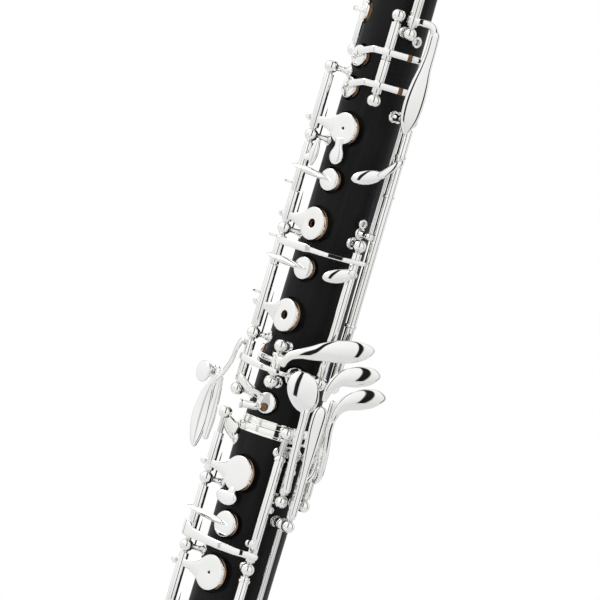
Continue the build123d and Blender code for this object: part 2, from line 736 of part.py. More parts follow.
def main():
    keys = all_keys()
    write("upper_joint", [upper_joint(keys)])
    write("lower_joint", [lower_joint(keys)])
    write("bell", [bell(keys)])
    write("ring_upper_joint", [ring(UPPER_R_BOTTOM - 1.0, 12.4, UPPER_Z, UPPER_Z + 2.6)])
    write("ring_lower_joint", [ring(LOWER_R_TOP - 1.0, 13.5, UPPER_Z - 2.8, UPPER_Z)])
    write("ring_bell_socket", [ring(15.0, 16.5, LOWER_Z - 6.0, LOWER_Z)])
    write("tenon_corks", [
        tenon_cork(UPPER_TENON_R, UPPER_SOCKET_R, UPPER_Z - TENON_LENGTH),
        tenon_cork(LOWER_TENON_R, LOWER_SOCKET_R, LOWER_Z - TENON_LENGTH),
    ])
    write("thumb_rest", [thumb_rest()])
    for name, rods in (("upper", UPPER_RODS), ("lower", LOWER_RODS), ("bell", BELL_RODS)):
        write(f"posts_{name}", joined(posts_of(rods)))
    write("hinge_rods", [rod.steel() for rod in UPPER_RODS + LOWER_RODS + BELL_RODS])
    sprung = [rod for rod in UPPER_RODS + LOWER_RODS + BELL_RODS if rod is not ROD_LONG]
    write("needle_springs", needle_springs(sprung))
    for key in keys:
        write(key.name, [key.solid()])
        if key.pads:
            write(key.name.replace("key_", "pad_"), key.pad_solids())


main()
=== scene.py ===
import json
from math import atan2, cos, degrees, hypot, pi, radians, sin, sqrt

import bpy
from mathutils import Matrix, Vector

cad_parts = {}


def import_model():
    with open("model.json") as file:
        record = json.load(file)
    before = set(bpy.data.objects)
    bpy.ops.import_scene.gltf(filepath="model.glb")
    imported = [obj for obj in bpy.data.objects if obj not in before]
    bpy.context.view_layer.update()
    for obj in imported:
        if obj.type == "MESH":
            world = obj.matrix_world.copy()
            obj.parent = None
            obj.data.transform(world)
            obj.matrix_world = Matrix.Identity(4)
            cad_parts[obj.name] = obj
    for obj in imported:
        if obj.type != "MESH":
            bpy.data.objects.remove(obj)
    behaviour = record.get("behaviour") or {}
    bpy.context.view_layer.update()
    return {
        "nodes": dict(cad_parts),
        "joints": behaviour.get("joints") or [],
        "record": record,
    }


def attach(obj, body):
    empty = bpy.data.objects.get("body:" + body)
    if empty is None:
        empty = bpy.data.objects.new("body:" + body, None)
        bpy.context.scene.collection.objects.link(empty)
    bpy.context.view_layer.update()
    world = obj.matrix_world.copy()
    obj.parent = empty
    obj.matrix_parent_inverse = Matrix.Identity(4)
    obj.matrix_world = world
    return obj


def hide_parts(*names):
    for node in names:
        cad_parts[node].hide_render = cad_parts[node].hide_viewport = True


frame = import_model()

# Lengths in this script are millimetres until a mesh is made.
MM = 0.001
NODES = frame["nodes"]
JOINTS = {joint["child"]: joint for joint in frame["joints"]}

# ---- the same driving sizes as the CAD part ----
UPPER_Z = 372.0          # the upper joint stands on the lower joint here
LOWER_Z = 128.0          # the lower joint stands on the bell here
WAIST_Z = 318.0          # narrowest place of the lower joint
UPPER_TOP_Z = 510.0      # where the upper joint's taper is measured
UPPER_BOTTOM_R = 11.8
UPPER_TOP_R = 10.7
WAIST_R = 12.5
WAIST_TO_TOP = 0.5       # growth of the lower joint's radius above its waist
WAIST_TO_BOTTOM = 1.9    # and below it
BELL_TOP_R = 16.0
BELL_FLARE = 12.0
BELL_FLARE_POWER = 3.2
SEAT_DEPTH = 1.6
PAD_AIR = 0.06
PAD_PROUD = 0.8
CUP_T = 2.0
TUBE_R = 1.65
TUBE_BORE_R = 1.05
BALL_R = 2.3

TINY = 0.02              # radius that stands for zero where a shell closes
NEARLY_NOTHING = 1e-9    # rounding error in a length


def body_radius(z):
    """Outer radius of the wood at a height."""
    if z > UPPER_Z:
        t = (z - UPPER_Z) / (UPPER_TOP_Z - UPPER_Z)
        return UPPER_BOTTOM_R + (UPPER_TOP_R - UPPER_BOTTOM_R) * t
    if z > WAIST_Z:
        return WAIST_R + WAIST_TO_TOP * (z - WAIST_Z) / (UPPER_Z - WAIST_Z)
    if z > LOWER_Z:
        return WAIST_R + WAIST_TO_BOTTOM * (WAIST_Z - z) / (WAIST_Z - LOWER_Z)
    t = 1 - z / LOWER_Z
    return BELL_TOP_R + t + BELL_FLARE * t ** BELL_FLARE_POWER


# ---------------------------------------------------------------- geometry

def radial(phi):
    """Away from the bore at an angle round it: 0 is the front, 90 the player's left hand side."""
    a = radians(phi)
    return Vector((sin(a), -cos(a), 0))


def tangent(phi):
    a = radians(phi)
    return Vector((cos(a), sin(a), 0))


def place(phi, r, z):
    return radial(phi) * r + Vector((0, 0, z))


def polar(p):
    """The phi and r of a place."""
    return degrees(atan2(p.x, -p.y)), hypot(p.x, p.y)


def outward(phi, r, z):
    """Axes at a point: x round the bore, y up it, z out of it."""
    m = Matrix.Identity(4)
    m.col[0].xyz = tangent(phi)
    m.col[1].xyz = Vector((0, 0, 1))
    m.col[2].xyz = radial(phi)
    m.col[3].xyz = place(phi, r, z)
    return m


def upright(origin):
    return Matrix.Translation(origin)


class Shape:
    """Closed shells collected into one mesh."""

    def __init__(self):
        self.verts = []
        self.faces = []

    def add(self, verts, faces):
        base = len(self.verts)
        self.verts += [Vector(v) for v in verts]
        self.faces += [tuple(base + i for i in face) for face in faces]

    def turn(self, origin, angle):
        """Turns every shell about the vertical line through origin."""
        spin = (Matrix.Translation(origin) @ Matrix.Rotation(radians(angle), 4, "Z")
                @ Matrix.Translation(-origin))
        self.verts = [spin @ v for v in self.verts]

    def make(self, name, body, material, slot, nodes=(), crease=38.0):
        mesh = bpy.data.meshes.new(name)
        mesh.from_pydata([v * MM for v in self.verts], [], self.faces)
        mesh.validate()
        mesh.polygons.foreach_set("use_smooth", [True] * len(mesh.polygons))
        mesh.set_sharp_from_angle(angle=radians(crease))
        mesh.materials.append(material)
        piece = bpy.data.objects.new(name, mesh)
        bpy.context.scene.collection.objects.link(piece)
        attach(piece, body)
        if nodes:
            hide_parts(*nodes)
        return piece


def loft(shape, rings, loop=False):
    """Skin over rings of equally many points, capped at both ends unless it loops."""
    n = len(rings[0])
    verts = [p for ring in rings for p in ring]
    faces = []
    spans = len(rings) if loop else len(rings) - 1
    for i in range(spans):
        a = i * n
        b = ((i + 1) % len(rings)) * n
        for j in range(n):
            k = (j + 1) % n
            faces.append((a + j, a + k, b + k, b + j))
    if not loop:
        for ring, last in ((rings[0], False), (rings[-1], True)):
            centre = sum(ring, Vector()) / n
            verts.append(centre)
            c = len(verts) - 1
            a = (len(rings) - 1) * n if last else 0
            for j in range(n):
                k = (j + 1) % n
                faces.append((a + j, a + k, c) if last else (a + k, a + j, c))
    shape.add(verts, faces)


def softened(profile, radius, steps=3, closed=False):
    """Profile with its corners rounded."""
    points = [Vector(p) for p in profile]
    n = len(points)
    out = []
    for i, p in enumerate(points):
        if not closed and i in (0, n - 1):
            out.append(tuple(p))
            continue
        a = points[i - 1]
        b = points[(i + 1) % n]
        cut = min(radius, (a - p).length * 0.45, (b - p).length * 0.45)
        start = p + (a - p).normalized() * cut
        end = p + (b - p).normalized() * cut
        for s in range(steps + 1):
            t = s / steps
            out.append(tuple(start * (1 - t) ** 2 + p * 2 * t * (1 - t) + end * t * t))
    return out


def lathe(shape, matrix, profile, segments=40, closed=False):
    """Turned shell about the matrix's z axis from (radius, height) points."""
    rings = []
    for r, h in profile:
        ring = []
        for j in range(segments):
            a = 2 * pi * j / segments
            ring.append(matrix @ Vector((r * cos(a), r * sin(a), h)))
        rings.append(ring)
    loft(shape, rings, loop=closed)


def curve_points(stations, step=0.9):
    """Smooth values between stations, the first three being a place in space."""
    count = len(stations)
    points = []
    for i in range(count - 1):
        p0 = stations[max(i - 1, 0)]
        p1 = stations[i]
        p2 = stations[i + 1]
        p3 = stations[min(i + 2, count - 1)]
        length = sqrt(sum((p2[k] - p1[k]) ** 2 for k in range(3)))
        n = max(2, int(length / step))
        for s in range(n):
            t = s / n
            point = []
            for a, b, c, d in zip(p0, p1, p2, p3):
                point.append(0.5 * (2 * b + (c - a) * t + (2 * a - 5 * b + 4 * c - d) * t * t
                                    + (3 * b - a - 3 * c + d) * t ** 3))
            points.append(point)
    points.append(list(stations[-1]))
    return points


def facets(stations, corner=0.07):
    """Stations that make a bar of flat lengths with crisp bends."""
    out = [stations[0]]
    for a, b in zip(stations, stations[1:]):
        p, q = place(*a[:3]), place(*b[:3])
        for t in (corner, 0.5, 1 - corner):
            m = p.lerp(q, t)
            out.append((*polar(m), m.z, a[3] * (1 - t) + b[3] * t))
    out.append(stations[-1])
    return out


# Where a rounded end has its rings, as shares of its length from the tip.
END_RINGS = (0.0, 0.04, 0.14, 0.3, 0.5, 0.75)
END_THICKNESS = 0.25     # what is left of the thickness at the very tip


def section(centre, side, normal, wide, flat, crown, square, across):
    """Ring of a bar: an oval, squarer for a higher square, with its outer face domed."""
    ring = []
    for j in range(across):
        a = 2 * pi * j / across
        c, s = cos(a), sin(a)
        x = (abs(c) ** (2 / square)) * (1 if c > 0 else -1)
        y = (abs(s) ** (2 / square)) * (1 if s > 0 else -1)
        dome = crown * wide * (1 - x * x)
        ring.append(centre + side * (wide * x) + normal * (flat * y + dome))
    return ring


def blade(shape, stations, thick=1.3, crown=0.0, square=3.0, across=20, step=0.8, ends=(1, 1),
          facing=None):
    """Swept bar or leaf. Stations are (phi, r, z, half width); crown domes its outer face.

    The two ends are rounded over their half width times the numbers in ends."""
    spine = [(*place(phi, r, z), half) for phi, r, z, half in stations]
    points = curve_points(spine, step)
    places = [Vector(p[:3]) for p in points]
    travelled = [0.0]
    for a, b in zip(places, places[1:]):
        travelled.append(travelled[-1] + (b - a).length)
    total = travelled[-1]
    first, last = (max(points[k][3], thick * 0.5) * cap for k, cap in ((0, ends[0]), (-1, ends[1])))
    samples = [first * s for s in END_RINGS]
    samples += [d for d in travelled if first <= d <= total - last]
    samples += [total - last * s for s in reversed(END_RINGS)]
    rings = []
    for d in samples:
        i = max(j for j in range(len(travelled)) if travelled[j] <= d + NEARLY_NOTHING)
        i = min(i, len(travelled) - 2)
        span = travelled[i + 1] - travelled[i]
        t = (d - travelled[i]) / span if span > NEARLY_NOTHING else 0.0
        centre = places[i].lerp(places[i + 1], t)
        half = points[i][3] * (1 - t) + points[i + 1][3] * t
        before = places[max(i - 1, 0)]
        after = places[min(i + 2, len(places) - 1)]
        along = (after - before).normalized()
        out = facing if facing else Vector((centre.x, centre.y, 0)).normalized()
        normal = (out - along * out.dot(along)).normalized()
        side = along.cross(normal)
        shrink = 1.0
        for edge, reach in ((d, first), (total - d, last)):
            if reach > 0 and edge < reach:
                shrink = min(shrink, sqrt(max(0.0, 1 - (1 - edge / reach) ** 2)))
        wide = max(half * shrink, TINY)
        flat = thick * 0.5
        if shrink < 1:
            flat *= END_THICKNESS + (1 - END_THICKNESS) * shrink
        rings.append(section(centre, side, normal, wide, flat, crown, square, across))
    loft(shape, rings)


def pipe(shape, origin, z0, z1, r_out=TUBE_R, r_in=TUBE_BORE_R, segments=32):
    profile = [(r_in, 0), (r_out, 0), (r_out, z1 - z0), (r_in, z1 - z0)]
    lathe(shape, upright(Vector((origin.x, origin.y, z0))), softened(profile, 0.18, 2, True),
          segments, closed=True)


def collar(shape, origin, z, r_out=2.0, height=1.2, r_in=TUBE_BORE_R):
    profile = [(r_in, -height / 2), (r_out, -height / 2), (r_out, height / 2), (r_in, height / 2)]
    lathe(shape, upright(Vector((origin.x, origin.y, z))), softened(profile, 0.3, 3, True),
          32, closed=True)


def strut(shape, p, q, radius, segments=20):
    along = (q - p)
    m = along.to_track_quat("Z", "Y").to_matrix().to_4x4()
    m.translation = p
    length = along.length
    profile = [(TINY, 0), (radius, 0), (radius, length), (TINY, length)]
    lathe(shape, m, softened(profile, radius * 0.4, 3), segments)


# ---------------------------------------------------------------- materials

class Nodes:
    """Short way to build a node material."""

    def __init__(self, name):
        self.material = bpy.data.materials.new(name)
        self.material.use_nodes = True
        self.tree = self.material.node_tree
        self.shader = self.tree.nodes["Principled BSDF"]
        self.coords = self.add("ShaderNodeTexCoord").outputs["Object"]

    def add(self, kind, **settings):
        node = self.tree.nodes.new(kind)
        for key, value in settings.items():
            setattr(node, key, value)
        return node

    def link(self, a, b):
        self.tree.links.new(a, b)

    def mapped(self, scale):
        node = self.add("ShaderNodeMapping")
        node.inputs["Scale"].default_value = scale
        self.link(self.coords, node.inputs["Vector"])
        return node.outputs["Vector"]

    def noise(self, scale, detail=3.0, stretch=(1, 1, 1), roughness=0.5):
        node = self.add("ShaderNodeTexNoise")
        node.inputs["Scale"].default_value = scale
        node.inputs["Detail"].default_value = detail
        node.inputs["Roughness"].default_value = roughness
        self.link(self.mapped(stretch), node.inputs["Vector"])
        return node.outputs["Fac"]

    def ramp(self, value, stops):
        node = self.add("ShaderNodeValToRGB")
        while len(node.color_ramp.elements) < len(stops):
            node.color_ramp.elements.new(0.5)
        for element, (at, colour) in zip(node.color_ramp.elements, stops):
            element.position = at
            element.color = (*colour, 1)
        self.link(value, node.inputs["Fac"])
        return node.outputs["Color"]

    def span(self, value, low, high, from_low=0.0, from_high=1.0):
        node = self.add("ShaderNodeMapRange")
        node.inputs["From Min"].default_value = from_low
        node.inputs["From Max"].default_value = from_high
        node.inputs["To Min"].default_value = low
        node.inputs["To Max"].default_value = high
        self.link(value, node.inputs["Value"])
        return node.outputs["Result"]

    def bump(self, height, strength, distance):
        node = self.add("ShaderNodeBump")
        node.inputs["Strength"].default_value = strength
        node.inputs["Distance"].default_value = distance
        self.link(height, node.inputs["Height"])
        self.link(node.outputs["Normal"], self.shader.inputs["Normal"])

    def set(self, **sockets):
        for key, value in sockets.items():
            self.shader.inputs[key.replace("_", " ")].default_value = value


def silver(name, tint, rough_low, rough_high):
    """Polished silver plate: faint haze, handling marks and a breath of tarnish."""
    m = Nodes(name)
    m.set(Metallic=1.0)
    haze = m.noise(180.0, 4.0)
    warm = m.ramp(m.noise(45.0, 3.0), [
        (0.30, tuple(c * f for c, f in zip(tint, (0.965, 0.955, 0.93)))),
        (0.62, tint),
    ])
    m.link(warm, m.shader.inputs["Base Color"])
    m.link(m.span(haze, rough_low, rough_high, 0.35, 0.7), m.shader.inputs["Roughness"])
    m.bump(m.noise(900.0, 2.0), 0.02, 0.00002)
    return m.material


def grenadilla():
    """Matte black wood with fine pores that run along the bore."""
    m = Nodes("grenadilla_wood")
    grain = m.noise(420.0, 6.0, stretch=(1.0, 1.0, 0.045), roughness=0.62)
    streak = m.noise(60.0, 4.0, stretch=(1.0, 1.0, 0.06))
    colour = m.ramp(grain, [(0.28, (0.0030, 0.0032, 0.0034)), (0.60, (0.0068, 0.0072, 0.0076)),
                            (0.82, (0.014, 0.0135, 0.0135))])
    m.link(colour, m.shader.inputs["Base Color"])
    m.link(m.span(streak, 0.42, 0.60), m.shader.inputs["Roughness"])
    m.set(Specular_IOR_Level=0.16)
    m.bump(grain, 0.25, 0.00006)
    return m.material


def cork_like(name, dark, light, scale, depth):
    """Cork or skin: grains of two shades with small pits."""
    m = Nodes(name)
    cells = m.add("ShaderNodeTexVoronoi")
    cells.inputs["Scale"].default_value = scale
    m.link(m.coords, cells.inputs["Vector"])
    mix = m.noise(scale * 0.6, 5.0)
    m.link(m.ramp(mix, [(0.3, dark), (0.7, light)]), m.shader.inputs["Base Color"])
    m.set(Roughness=0.62, Specular_IOR_Level=0.3)
    m.bump(cells.outputs["Distance"], depth, 0.0001)
    return m.material


def steel(name, colour, rough, streaks):
    """Ground steel with marks round or along the bar."""
    m = Nodes(name)
    m.set(Metallic=1.0)
    lines = m.noise(streaks, 3.0, stretch=(1, 1, 0.1))
    m.link(m.ramp(lines, [(0.3, tuple(c * 0.8 for c in colour)), (0.7, colour)]),
           m.shader.inputs["Base Color"])
    m.link(m.span(lines, rough * 0.7, rough * 1.3), m.shader.inputs["Roughness"])
    m.bump(lines, 0.05, 0.00003)
    return m.material


SILVER = silver("silver_key", (0.925, 0.93, 0.92), 0.02, 0.07)
SILVER_POST = silver("silver_post", (0.93, 0.93, 0.915), 0.03, 0.09)
SILVER_RING = silver("silver_ring", (0.95, 0.95, 0.935), 0.03, 0.08)
WOOD = grenadilla()
CORK_PAD = cork_like("pad_cork", (0.30, 0.135, 0.045), (0.50, 0.26, 0.105), 1400.0, 0.5)
SKIN_PAD = cork_like("pad_skin", (0.46, 0.24, 0.115), (0.66, 0.40, 0.22), 500.0, 0.15)
BUMPER = cork_like("bumper_cork", (0.10, 0.055, 0.025), (0.24, 0.135, 0.06), 1500.0, 0.6)
TENON_CORK = cork_like("tenon_cork", (0.40, 0.25, 0.13), (0.62, 0.44, 0.26), 1200.0, 0.6)
ROD_STEEL = steel("rod_steel", (0.86, 0.86, 0.85), 0.10, 700.0)
BLUED = steel("blued_spring", (0.035, 0.042, 0.07), 0.25, 900.0)

SLOT_MATERIAL = {
    "grenadilla": WOOD,
    "silver_key": SILVER,
    "silver_post": SILVER_POST,
    "silver_ring": SILVER_RING,
    "steel_rod": ROD_STEEL,
    "blued_steel": BLUED,
    "cork_pad": CORK_PAD,
    "skin_pad": SKIN_PAD,
    "cork": TENON_CORK,
}
for part in frame["record"]["subparts"]:
    node = NODES[part["node"]]
    node.data.materials.clear()
    node.data.materials.append(SLOT_MATERIAL[part["material_slot"]])
SLOT_OF = {part["node"]: part["material_slot"] for part in frame["record"]["subparts"]}


# ---------------------------------------------------------------- keys

CREST = 1.5              # from a tube's axis to where its arms are soldered on
CUP_WALL = 0.35
PAD_CLEARANCE = 0.02     # between the pad's back and the cup's floor
PAD_SIDE_CLEARANCE = 0.03


class Key:
    """A key's metal and pads, drawn closed about its hinge rod and then set to rest.

    Keys are named as in the CAD. Their stations are (phi, r, z, half width)."""

    def __init__(self, name, z0, z1, open_angle=0.0, stops=()):
        self.body = "key_" + name
        self.name = name
        pos = JOINTS[self.body]["pos_m"]
        self.origin = Vector((pos[0] / MM, pos[1] / MM, 0))
        self.phi = degrees(atan2(self.origin.x, -self.origin.y))
        self.r = self.origin.length
        self.open_angle = open_angle
        self.metal = Shape()
        self.pads = Shape()
        self.corks = Shape()
        pipe(self.metal, self.origin, z0, z1)
        for z in stops:
            collar(self.metal, self.origin, z)

    def cup(self, phi, z, radius, hole=0.0, dome=0.12, plate=1.35):
        """Pad cup: a plate with a rolled edge and a hollow back, and the pad that fills it."""
        face = body_radius(z) - SEAT_DEPTH + PAD_AIR
        top = face + PAD_PROUD + CUP_T
        m = outward(phi, top - plate, z)
        inner = radius - CUP_WALL
        well = plate * 0.45
        if hole:
            profile = [(hole, plate + dome - 0.12), (hole + 0.25, plate + dome),
                       (radius * 0.7, plate + dome * 0.6), (radius - 0.2, plate),
                       (radius, plate - 0.35), (radius, 0.15), (radius - 0.15, 0.0), (inner, 0.0),
                       (inner, well), (hole, well)]
            lathe(self.metal, m, softened(profile, 0.18, 3, True), 64, closed=True)
        else:
            profile = [(TINY, plate + dome), (radius * 0.5, plate + dome * 0.85),
                       (radius - 0.2, plate), (radius, plate - 0.35), (radius, 0.15),
                       (radius - 0.15, 0.0), (inner, 0.0), (inner, well), (TINY, well)]
            lathe(self.metal, m, softened(profile, 0.18, 3), 64)
        height = top - plate + well - PAD_CLEARANCE - face
        edge = inner - PAD_SIDE_CLEARANCE
        centre = hole + 1.2 if hole else TINY
        pad = [(centre, 0.0), (edge * 0.72, 0.0), (edge - 0.3, 0.12), (edge, 0.45),
               (edge, height * 0.5), (edge - 0.12, height * 0.56), (edge, height * 0.62),
               (edge, height), (centre, height)]
        lathe(self.pads, outward(phi, face, z), softened(pad, 0.12, 2, centre > 1), 56,
              closed=centre > 1)
        return top

    def straight(self, from_z, phi, r, z, widths):
        """Stations on the line from the tube's crest to a place on the plate.

        Each of widths is a share of the way, a half width and a lift off the line."""
        crest = self.origin + radial(self.phi) * CREST
        start = Vector((crest.x, crest.y, from_z))
        end = place(phi, r, z)
        stations = []
        for t, half, lift in widths:
            p = start.lerp(end, t)
            at_phi, at_r = polar(p)
            stations.append((at_phi, at_r + lift, p.z, half))
        return stations

    def fan_arm(self, phi, z, top, from_z, plate_r=5.4, wide=1.0):
        """Arm that spreads from a spur behind the tube to the width of the plate."""
        near = phi - degrees(plate_r * 0.62 / top)
        blade(self.metal, self.straight(from_z, near, top - 0.3, z, [
            (-0.38, 0.4, -1.3), (-0.17, 1.25, -0.35), (0.08, 1.1, 0.05), (0.45, 1.45, 0.1),
            (0.72, plate_r * 0.46 * wide, 0.0), (0.9, plate_r * 0.68 * wide, -0.05),
            (1.0, plate_r * 0.74 * wide, -0.12),
        ]), thick=1.1, crown=0.02, square=3.4, ends=(1, 0.25))

    def vane(self, phi, z, top, from_z, plate_r=3.8):
        """Arm with a sharp ridge that runs out to a point past the middle of a small plate."""
        tip = phi + degrees(plate_r * 0.5 / top)
        blade(self.metal, self.straight(from_z, tip, top + 0.05, z - 0.2, [
            (-0.22, 0.25, -1.2), (-0.06, 0.8, -0.1), (0.2, 1.1, 0.1), (0.5, 1.15, 0.1),
            (0.78, 0.75, 0.1), (1.0, 0.12, 0.0),
        ]), thick=1.9, square=1.2, across=16, ends=(1, 0.2))

    def route(self, stations, thick=1.3, **how):
        """Arm or lever bar."""
        blade(self.metal, stations, thick=thick, **how)

    def touch(self, stations, thick=1.25, crown=0.10, **how):
        """Finger touch: a broad smooth leaf."""
        how.setdefault("across", 32)
        how.setdefault("square", 2.6)
        blade(self.metal, stations, thick=thick, crown=crown, step=0.6, **how)

    def peg(self, phi, r0, r1, z, radius=1.2):
        """Round pin that stands out of the bore's axis."""
        strut(self.metal, place(phi, r0, z), place(phi, r1, z), radius)

    def cork(self, phi, r, z, radius=0.9, height=1.2):
        """Round cork bumper."""
        strut(self.corks, place(phi, r, z), place(phi, r + height, z), radius)

    def finish(self):
        """Opens the key to its rest angle and makes its pieces."""
        pad_slot = SLOT_OF.get("pad_" + self.name)
        for shape, part, material, slot in (
                (self.metal, "key_", SILVER, "silver_key"),
                (self.pads, "pad_", SLOT_MATERIAL.get(pad_slot), pad_slot),
                (self.corks, "cork_", BUMPER, "cork")):
            if not shape.verts:
                continue
            shape.turn(self.origin, self.open_angle)
            node = part + self.name
            nodes = [node] if node in NODES else []
            shape.make("shown_" + node, self.body, material, slot, nodes)


def half_hole_key():
    """First finger's plate with its vent, and the lobe that the finger rolls on to."""
    key = Key("half_hole", 471.2, 489.6, -8.0)
    top = key.cup(5.0, 473.8, 5.4, hole=0.5, dome=0.05)
    key.fan_arm(5.0, 474.0, top, 474.3)
    key.touch([(5.2, top - 0.05, 470.6, 1.9), (7.0, top + 0.02, 467.9, 1.5),
               (8.0, top + 0.1, 466.2, 2.3), (8.0, top + 0.1, 464.4, 2.75),
               (8.0, top + 0.1, 461.7, 2.5)],
              thick=1.1, crown=0.03, ends=(0.2, 1.0))
    key.finish()


def upper_vent_key():
    key = Key("upper_vent", 449.6, 466.2, -6.0)
    top = key.cup(5.0, 456.4, 3.8)
    key.vane(5.0, 456.4, top, 457.6)
    key.peg(-37.0, 18.8, 21.8, 451.9, 0.45)
    key.touch([(-21.0, 16.3, 459.0, 0.5), (-19.5, 16.5, 463.2, 1.7), (-19.5, 16.2, 468.4, 0.6)],
              thick=1.1, facing=radial(10.0))
    key.route([(-35.0, 18.2, 461.0, 1.0), (-21.0, 16.4, 461.8, 1.2)])
    key.finish()


def second_finger_key():
    key = Key("lh_second", 439.2, 449.4, -8.0)
    top = key.cup(-1.0, 441.0, 5.6, hole=1.5, dome=0.05)
    key.fan_arm(-1.0, 441.0, top, 441.3, plate_r=5.6)
    key.finish()


def cross_lever_key():
    """Small vent whose bar crosses the front to the trill tubes."""
    key = Key("cross_lever", 424.4, 434.2, -4.0)
    top = key.cup(5.0, 426.1, 3.8)
    key.vane(5.0, 426.1, top, 426.9)
    key.peg(-37.0, 18.8, 21.8, 433.5, 0.45)
    key.route(facets([(-35.0, 18.5, 432.8, 1.1), (-14.0, 17.9, 432.8, 1.3),
                      (12.0, 17.3, 432.9, 1.35), (19.0, 17.5, 432.8, 0.85),
                      (39.0, 18.9, 432.8, 0.8), (57.0, 19.3, 432.9, 0.8),
                      (79.0, 19.7, 433.2, 0.8)]), thick=1.2, square=4.0)
    key.finish()


def third_finger_key():
    key = Key("lh_third", 403.2, 424.2, -8.0)
    top = key.cup(-1.0, 409.6, 5.6, hole=1.5, dome=0.05)
    key.fan_arm(-1.0, 409.8, top, 410.9, plate_r=5.6)
    key.peg(-37.0, 18.8, 21.8, 414.2, 0.45)
    key.finish()


def trill_key(name, z0, z1, arm_z, cup_z, cup_phi):
    """Trill key across the front: a bent bar with a cork band, and a ridged arm on its cup."""
    key = Key(name, z0, z1)
    top = key.cup(cup_phi, cup_z, 3.6, dome=0.25)
    key.route(facets([(80.0, 16.7, arm_z, 1.0), (62.0, 17.3, arm_z, 1.15),
                      (38.5, 17.9, arm_z, 1.15), (20.0, 16.3, arm_z - 0.2, 1.15),
                      (-4.0, 13.9, (arm_z + cup_z) / 2 - 0.4, 1.2),
                      (cup_phi - 2.0, top + 0.2, cup_z, 0.9),
                      (cup_phi - 10.0, top + 0.05, cup_z - 0.3, 0.4)]), thick=1.25, square=3.4)
    blade(key.metal, [(cup_phi - 16.0, top + 0.1, cup_z - 1.4, 0.2),
                      (cup_phi - 4.0, top + 0.35, cup_z - 0.4, 1.0),
                      (cup_phi + 13.0, top + 0.1, cup_z + 0.9, 0.15)], thick=1.3, square=1.2,
          across=16, ends=(1, 1))
    collar(key.metal, key.origin, arm_z, 2.0, 2.6)
    key.peg(62.0, 16.0, 17.2, arm_z, 0.95)
    blade(key.corks, [(59.2, 17.35, arm_z, 1.2), (64.8, 17.25, arm_z, 1.2)], thick=1.4,
          square=8.0, ends=(0.1, 0.1))
    key.finish()


def side_octave_key():
    key = Key("side_octave", 512.2, 543.4)
    top = key.cup(12.0, 538.0, 3.8)
    key.fan_arm(12.0, 538.0, top, 538.0, plate_r=3.8)
    key.route([(55.5, 17.4, 514.2, 1.2), (64.0, 18.6, 514.4, 1.2), (74.0, 19.7, 513.8, 1.3),
               (80.0, 20.0, 510.0, 1.8)], thick=1.4, crown=0.05)
    key.touch([(78.0, 20.0, 513.0, 1.8), (78.0, 20.3, 506.0, 1.9), (77.0, 20.4, 500.0, 2.3),
               (76.5, 20.4, 494.5, 3.2), (76.0, 20.4, 488.5, 3.6), (76.0, 20.3, 482.5, 3.0),
               (76.5, 20.0, 477.6, 0.7)], crown=0.16, facing=radial(60.0))
    collar(key.metal, key.origin, 514.2, 2.05, 2.6)
    key.finish()


def thumb_octave_key():
    key = Key("thumb_octave", 501.5, 516.5)
    top = key.cup(-44.0, 512.6, 3.6)
    key.route([(-96.0, 16.6, 512.6, 0.95), (-80.0, 16.2, 512.6, 0.95), (-60.0, 14.8, 512.6, 0.9),
               (-44.0, top + 0.2, 512.6, 0.8), (-38.0, top + 0.05, 512.6, 0.4)])
    key.route([(-96.0, 16.6, 504.0, 1.2), (-115.0, 16.9, 504.0, 1.3), (-135.0, 17.3, 503.0, 1.4)],
              thick=1.4)
    key.touch([(-150.0, 17.2, 489.2, 1.5), (-150.0, 17.3, 494.0, 3.9), (-150.0, 17.3, 501.0, 4.2),
               (-149.0, 17.2, 506.8, 1.8)], crown=0.05)
    key.finish()


def trill_touch_key(name, z0, z1, touch_z, arm_z, elbow_phi, stops=()):
    """Long tube with the small leaf that works one trill key."""
    key = Key(name, z0, z1, stops=stops)
    key.route([(key.phi + 3.0, key.r + 1.2, arm_z, 1.3), (elbow_phi, 19.2, arm_z - 1.2, 1.3),
               (66.0, 19.6, touch_z + 2.2, 1.35), (60.0, 19.3, touch_z + 1.2, 1.2)],
              thick=1.2, crown=0.05)
    key.touch([(37.5, 18.4, touch_z - 1.9, 1.0), (44.0, 18.8, touch_z - 1.0, 2.0),
               (53.0, 19.0, touch_z + 0.1, 2.35), (62.0, 19.0, touch_z + 1.3, 1.9),
               (67.0, 18.9, touch_z + 2.0, 1.0)], crown=0.14, ends=(1.2, 1.2))
    key.finish()


